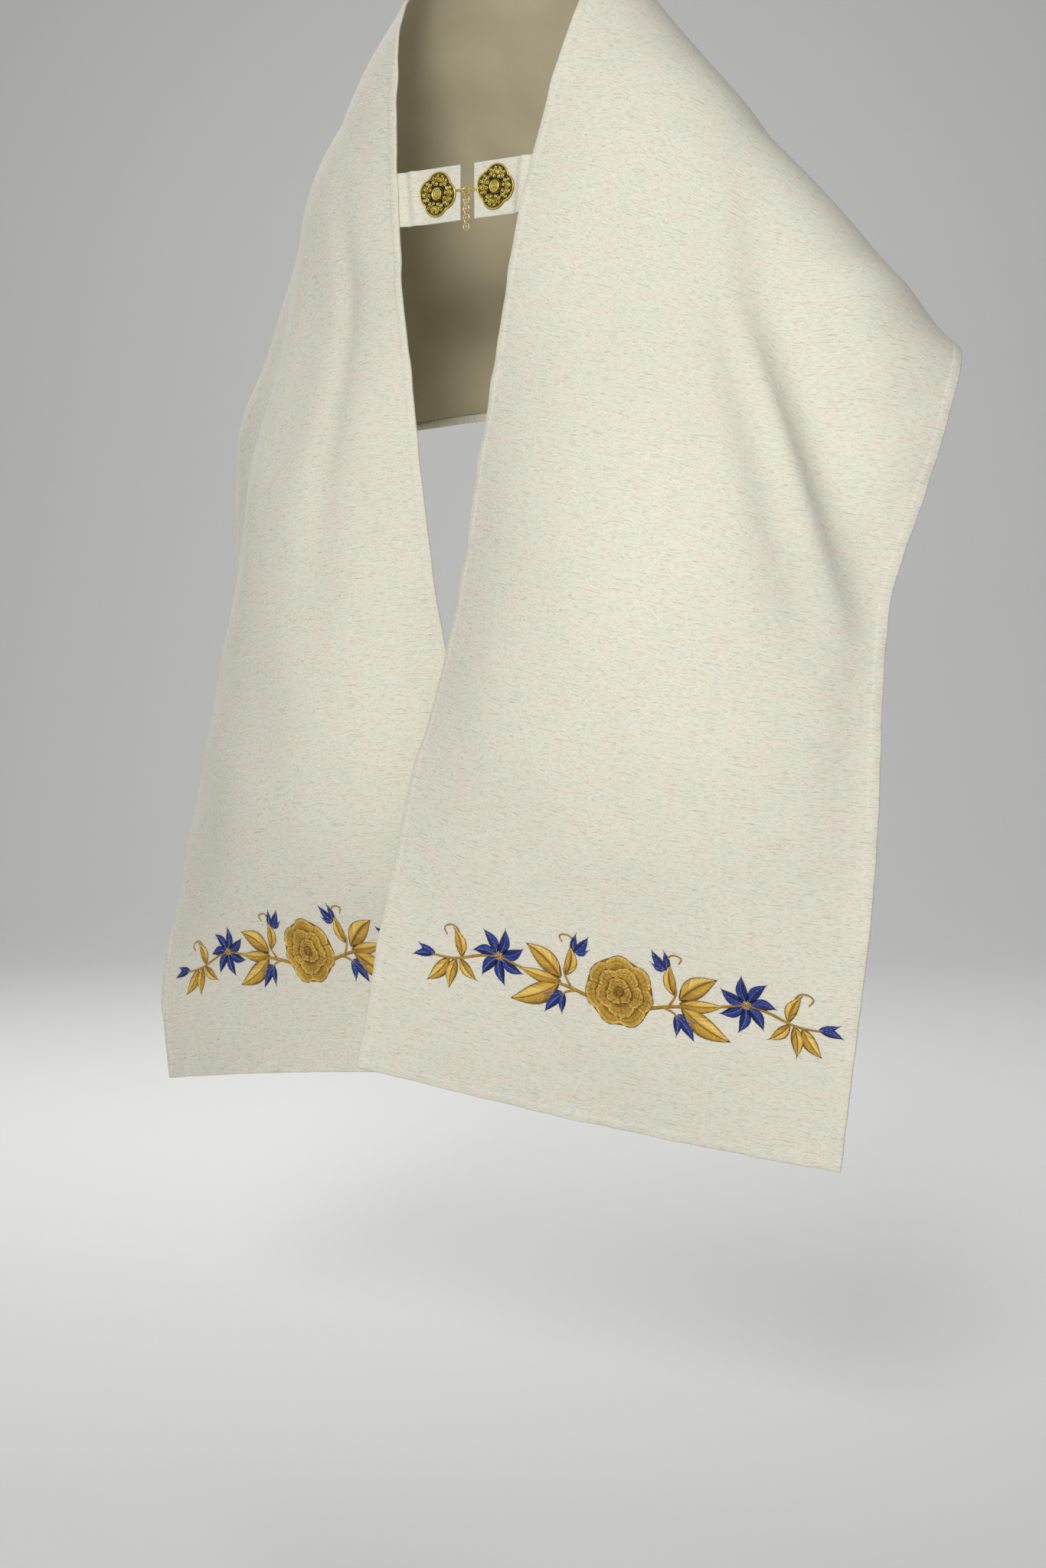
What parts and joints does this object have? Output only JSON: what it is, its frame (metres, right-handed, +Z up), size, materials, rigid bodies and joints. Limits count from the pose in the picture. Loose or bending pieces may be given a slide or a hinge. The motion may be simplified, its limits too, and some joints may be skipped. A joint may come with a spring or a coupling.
{
  "type": "humeral veil",
  "caption": "Long lined cream shawl worn over the shoulders, with a hook and eye clasp on tabs at the chest and an embroidered floral border above each front hem.",
  "frame": {"origin": "midway between the tops of the two shoulders that the veil rests on", "axes": "+Z up, the front faces -Y, and the veil's left half lies on +X"},
  "size_m": [0.9214, 0.4222, 1.225],
  "materials": {
    "cream_cloth": "matte",
    "lining_cloth": "satin",
    "gold_thread": "satin",
    "blue_thread": "satin",
    "gilt_brass": "polished"
  },
  "bodies": {
    "veil": {"outer_cloth": "cream_cloth", "lining": "lining_cloth", "clasp_tab_left": "cream_cloth", "clasp_tab_right": "cream_cloth", "clasp_plate_left": "gilt_brass", "clasp_plate_right": "gilt_brass", "embroidery_left": "gold_thread", "embroidery_right": "gold_thread"},
    "chain_tail": {"chain_link_1": "gilt_brass", "chain_ring_1": "gilt_brass", "chain_link_2": "gilt_brass", "chain_ring_2": "gilt_brass", "chain_link_3": "gilt_brass", "chain_ring_3": "gilt_brass", "chain_link_4": "gilt_brass", "chain_ring_4": "gilt_brass"}
  },
  "joints": [
    {"name": "chain_swing", "type": "hinge", "parent": "veil", "child": "chain_tail", "pos_m": [0, -0.0982, -0.1028], "axis": [-1, 0, 0], "range_deg": [0, 85]}
  ]
}
